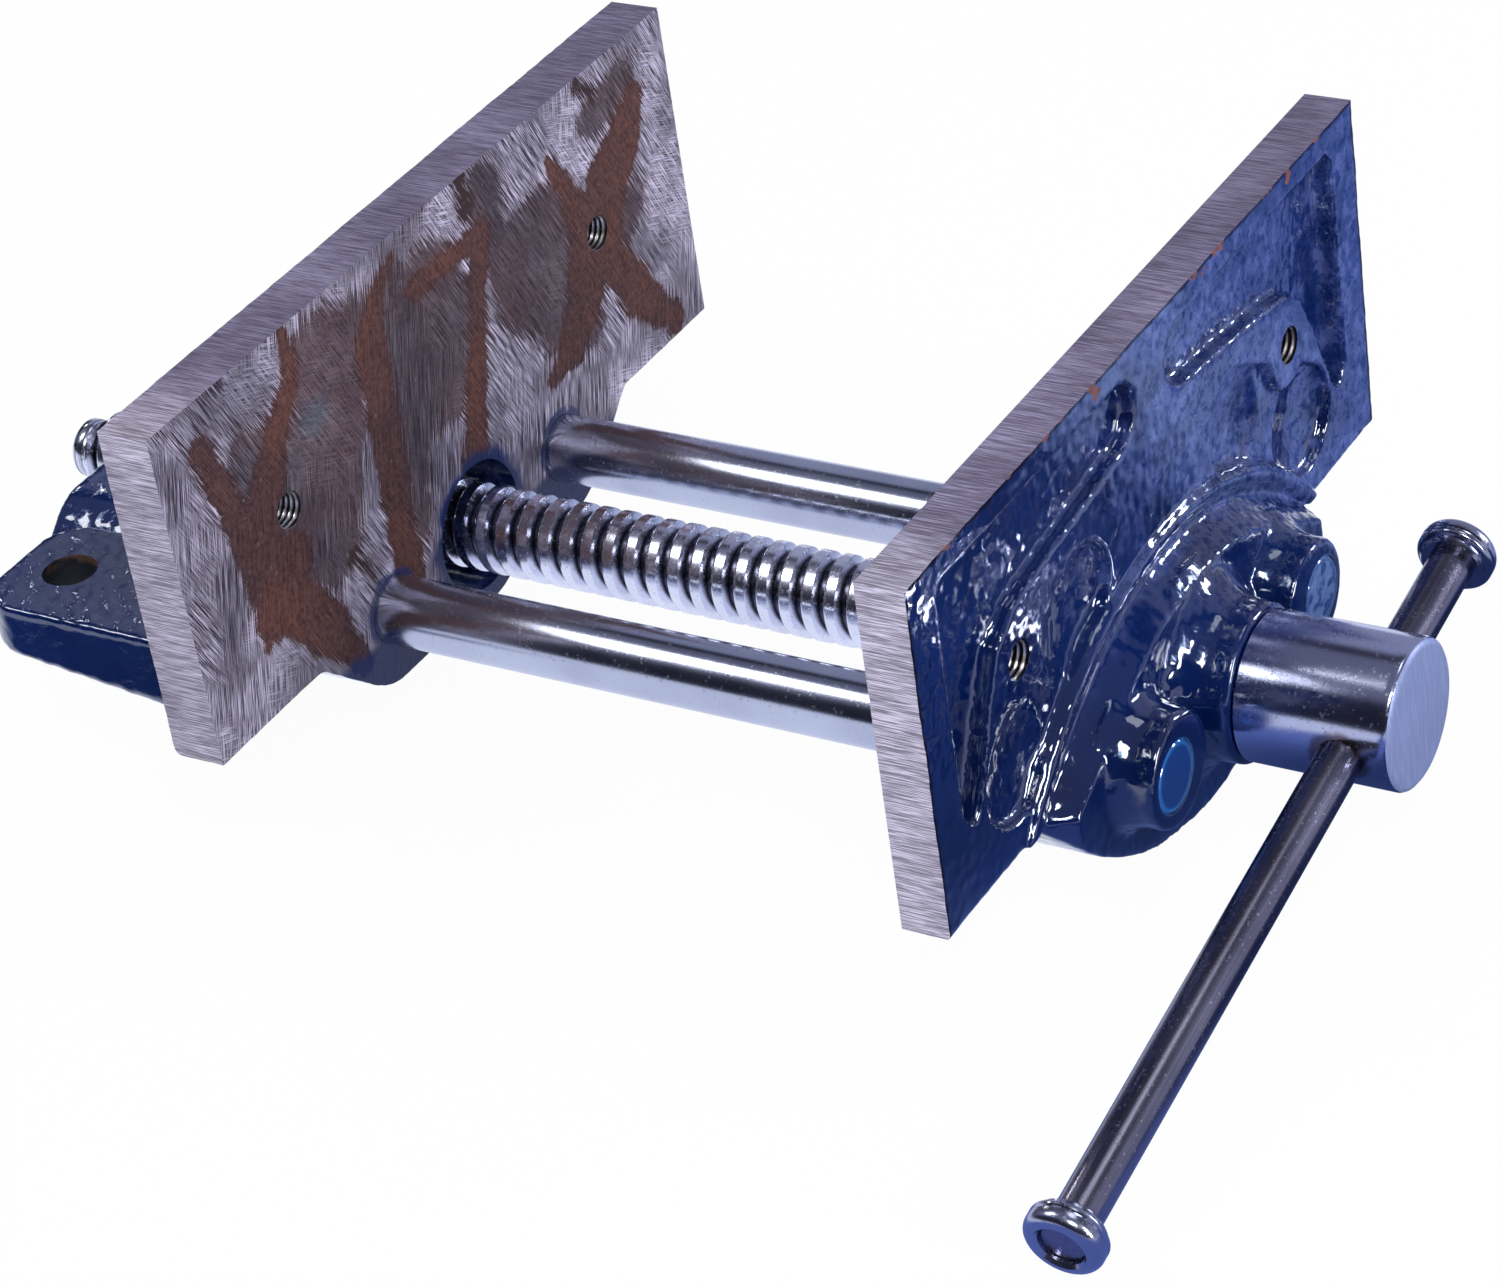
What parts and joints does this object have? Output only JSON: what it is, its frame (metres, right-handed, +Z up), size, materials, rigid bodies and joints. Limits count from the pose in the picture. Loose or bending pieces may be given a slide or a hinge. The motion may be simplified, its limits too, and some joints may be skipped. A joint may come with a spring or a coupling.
{
  "type": "woodworking vise",
  "caption": "Front vise for a woodworking bench: rear and front jaw castings on guide rods, opened and closed by a lead screw with a sliding bar handle.",
  "frame": {"origin": "midway between the two bench screw holes, on the plane of the lugs' flat tops, which bear on the underside of the bench", "axes": "+Z up, +Y towards the bench, -Y towards the handle, +X to the right seen from the handle"},
  "size_m": [0.2189, 0.3025, 0.1021],
  "materials": {
    "painted_casting": "deep glossy blue paint over a rough casting, with ground bare faces and edges",
    "rod_steel": "satin zinc-plated steel",
    "screw_steel": "bright rolled thread with dark grooves",
    "head_steel": "turned and polished steel",
    "handle_steel": "dark polished steel",
    "pin_steel": "blackened steel",
    "nut_iron": "bare machined iron"
  },
  "bodies": {
    "rear_body": {"rear_jaw": "painted_casting", "lead_nut": "nut_iron", "nut_grub_screw": "pin_steel"},
    "front_body": {"front_jaw": "painted_casting", "guide_rod_left": "rod_steel", "guide_rod_right": "rod_steel", "rod_pin_left": "pin_steel", "rod_pin_right": "pin_steel"},
    "screw_body": {"lead_screw": "screw_steel", "thrust_washer": "rod_steel", "retaining_collar": "head_steel", "collar_pin": "pin_steel", "screw_head": "head_steel", "head_pin": "pin_steel"},
    "handle_body": {"handle_bar": "handle_steel", "handle_knob_upper": "handle_steel", "handle_knob_lower": "handle_steel"}
  },
  "joints": [
    {"name": "jaw_slide", "type": "slide", "parent": "rear_body", "child": "front_body", "axis": [0, -1, 0], "range_m": [-0.1445, 0.02]},
    {"name": "screw_turn", "type": "hinge", "parent": "front_body", "child": "screw_body", "pos_m": [0, -0.203, -0.021], "axis": [0, -1, 0], "range_deg": [-10400, 1440]},
    {"name": "handle_slide", "type": "slide", "parent": "screw_body", "child": "handle_body", "axis": [0.9842, 0, 0.1771], "range_m": [-0.0237, 0.1105]}
  ],
  "couplings": [
    {"joint": "jaw_slide", "follows": "screw_turn", "m_per_rad": 0.00079577}
  ]
}
